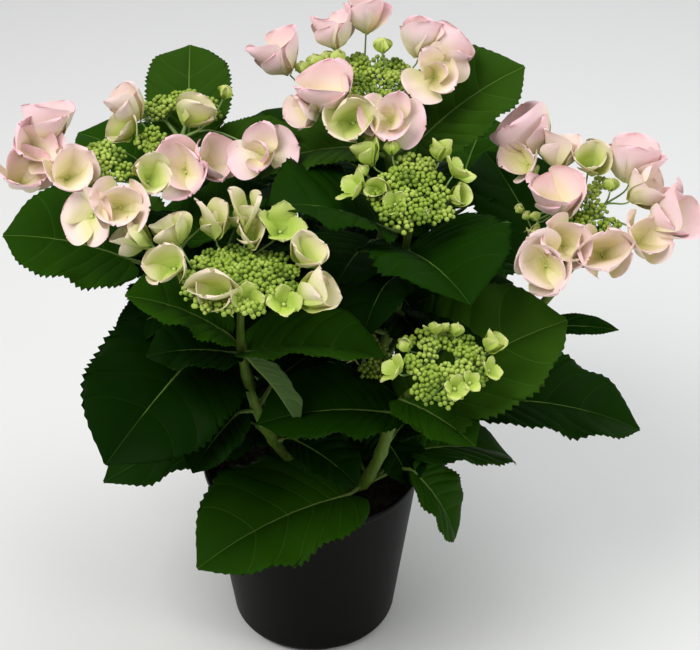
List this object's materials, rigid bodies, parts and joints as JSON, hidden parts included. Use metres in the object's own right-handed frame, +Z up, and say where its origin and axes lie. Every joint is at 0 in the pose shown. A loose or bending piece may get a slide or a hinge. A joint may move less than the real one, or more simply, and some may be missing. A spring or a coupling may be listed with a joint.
{
  "type": "potted lacecap hydrangea shrub",
  "caption": "Garden hydrangea with flat lacecap flower heads over broad leaves, growing in a round tapered nursery pot filled with compost.",
  "frame": {"origin": "middle of the pot's flat underside", "axes": "+Z up; the side seen first faces -Y, +X is to that viewer's right"},
  "size_m": [0.552, 0.4286, 0.5381],
  "materials": {
    "pot_plastic": "dark grey, slightly sheened",
    "compost": "damp crumbly peat and bark",
    "old_wood": "rough light brown bark",
    "green_cane": "smooth green stem with fine lenticels",
    "foliage": "quilted green leaves with pale veins",
    "blossom": "soft pale pink and cream sepals round green buds"
  },
  "bodies": {
    "root": {"cane_back": "green_cane", "cane_back_left": "green_cane", "cane_back_right": "green_cane", "cane_centre": "green_cane", "cane_far_left": "green_cane", "cane_front_left": "green_cane", "cane_front_right": "green_cane", "cane_inner": "green_cane", "cane_low_left": "green_cane", "cane_right": "green_cane", "cane_top": "green_cane", "compost": "compost", "crown_stem": "old_wood", "flowers_back_left": "blossom", "flowers_centre": "blossom", "flowers_far_left": "blossom", "flowers_front_left": "blossom", "flowers_front_right": "blossom", "flowers_inner": "blossom", "flowers_right": "blossom", "flowers_top": "blossom", "leaves_back_1": "foliage", "leaves_back_2": "foliage", "leaves_back_3": "foliage", "leaves_back_left_1": "foliage", "leaves_back_left_2": "foliage", "leaves_back_left_3": "foliage", "leaves_back_left_4": "foliage", "leaves_back_right_1": "foliage", "leaves_back_right_2": "foliage", "leaves_back_right_3": "foliage", "leaves_centre_1": "foliage", "leaves_centre_2": "foliage", "leaves_centre_3": "foliage", "leaves_far_left_1": "foliage", "leaves_far_left_2": "foliage", "leaves_far_left_3": "foliage", "leaves_front_left_1": "foliage", "leaves_front_left_2": "foliage", "leaves_front_left_3": "foliage", "leaves_front_left_4": "foliage", "leaves_front_right_1": "foliage", "leaves_front_right_2": "foliage", "leaves_inner_1": "foliage", "leaves_low_left_1": "foliage", "leaves_low_left_2": "foliage", "leaves_right_1": "foliage", "leaves_right_2": "foliage", "leaves_right_3": "foliage", "leaves_right_4": "foliage", "leaves_top_1": "foliage", "leaves_top_2": "foliage", "leaves_top_3": "foliage", "pot": "pot_plastic"}
  },
  "joints": []
}
